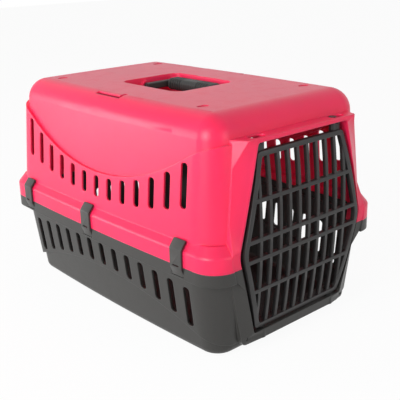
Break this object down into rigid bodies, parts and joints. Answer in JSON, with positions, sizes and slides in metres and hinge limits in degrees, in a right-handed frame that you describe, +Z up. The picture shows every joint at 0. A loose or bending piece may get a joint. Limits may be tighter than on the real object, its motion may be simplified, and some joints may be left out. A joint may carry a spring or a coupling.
{
  "type": "pet carrier",
  "caption": "Moulded pet carrier in two shells with slotted walls, a swinging grille door, flexing latch tongues and a folding carry handle set in the roof.",
  "frame": {"origin": "middle of the footprint, on the surface that the carrier stands on", "axes": "+X to the right as seen from the door, +Y from the door to the back, +Z up"},
  "size_m": [0.3262, 0.4802, 0.308],
  "materials": {
    "upper_plastic": "satin injection-moulded polypropylene, raspberry pink",
    "lower_plastic": "satin injection-moulded polypropylene, dark warm grey",
    "door_plastic": "satin injection-moulded polypropylene, dark grey",
    "latch_plastic": "same moulding as the lower shell",
    "handle_plastic": "satin polypropylene, near black",
    "grip_rubber": "soft grooved sleeve, near black"
  },
  "bodies": {
    "shell": {"lower_shell": "lower_plastic", "upper_shell": "upper_plastic"},
    "door": {"door": "door_plastic"},
    "handle": {"handle_bail": "handle_plastic", "handle_grip": "grip_rubber"},
    "latch_right_rear": {"latch_right_rear": "latch_plastic"},
    "latch_left_rear": {"latch_left_rear": "latch_plastic"},
    "latch_right_middle": {"latch_right_middle": "latch_plastic"},
    "latch_left_middle": {"latch_left_middle": "latch_plastic"},
    "latch_right_front": {"latch_right_front": "latch_plastic"},
    "latch_left_front": {"latch_left_front": "latch_plastic"},
    "latch_back": {"latch_back": "latch_plastic"}
  },
  "joints": [
    {"name": "door_hinge", "type": "hinge", "parent": "shell", "child": "door", "pos_m": [0.066, -0.2245, 0.15], "axis": [0, 0, 1], "range_deg": [0, 110]},
    {"name": "handle_fold", "type": "hinge", "parent": "shell", "child": "handle", "pos_m": [-0.008, 0.003, 0.297], "axis": [0, -1, 0], "range_deg": [0, 140]},
    {"name": "latch_flex_right_rear", "type": "hinge", "parent": "shell", "child": "latch_right_rear", "pos_m": [0.15529, 0.17495, 0.116], "axis": [-0.0384, 0.9993, 0], "range_deg": [0, 25], "stiffness_Nm_per_rad": 0.2},
    {"name": "latch_flex_left_rear", "type": "hinge", "parent": "shell", "child": "latch_left_rear", "pos_m": [-0.15529, 0.17495, 0.116], "axis": [-0.0384, -0.9993, 0], "range_deg": [0, 25], "stiffness_Nm_per_rad": 0.2},
    {"name": "latch_flex_right_middle", "type": "hinge", "parent": "shell", "child": "latch_right_middle", "pos_m": [0.15867, 0.014, 0.116], "axis": [-0.0036, 1, 0], "range_deg": [0, 25], "stiffness_Nm_per_rad": 0.2},
    {"name": "latch_flex_left_middle", "type": "hinge", "parent": "shell", "child": "latch_left_middle", "pos_m": [-0.15867, 0.014, 0.116], "axis": [-0.0036, -1, 0], "range_deg": [0, 25], "stiffness_Nm_per_rad": 0.2},
    {"name": "latch_flex_right_front", "type": "hinge", "parent": "shell", "child": "latch_right_front", "pos_m": [0.15548, -0.17495, 0.116], "axis": [0.0373, 0.9993, 0], "range_deg": [0, 25], "stiffness_Nm_per_rad": 0.2},
    {"name": "latch_flex_left_front", "type": "hinge", "parent": "shell", "child": "latch_left_front", "pos_m": [-0.15548, -0.17495, 0.116], "axis": [0.0373, -0.9993, 0], "range_deg": [0, 25], "stiffness_Nm_per_rad": 0.2},
    {"name": "latch_flex_back", "type": "hinge", "parent": "shell", "child": "latch_back", "pos_m": [0, 0.2357, 0.116], "axis": [-1, 0, 0], "range_deg": [0, 25], "stiffness_Nm_per_rad": 0.2}
  ]
}
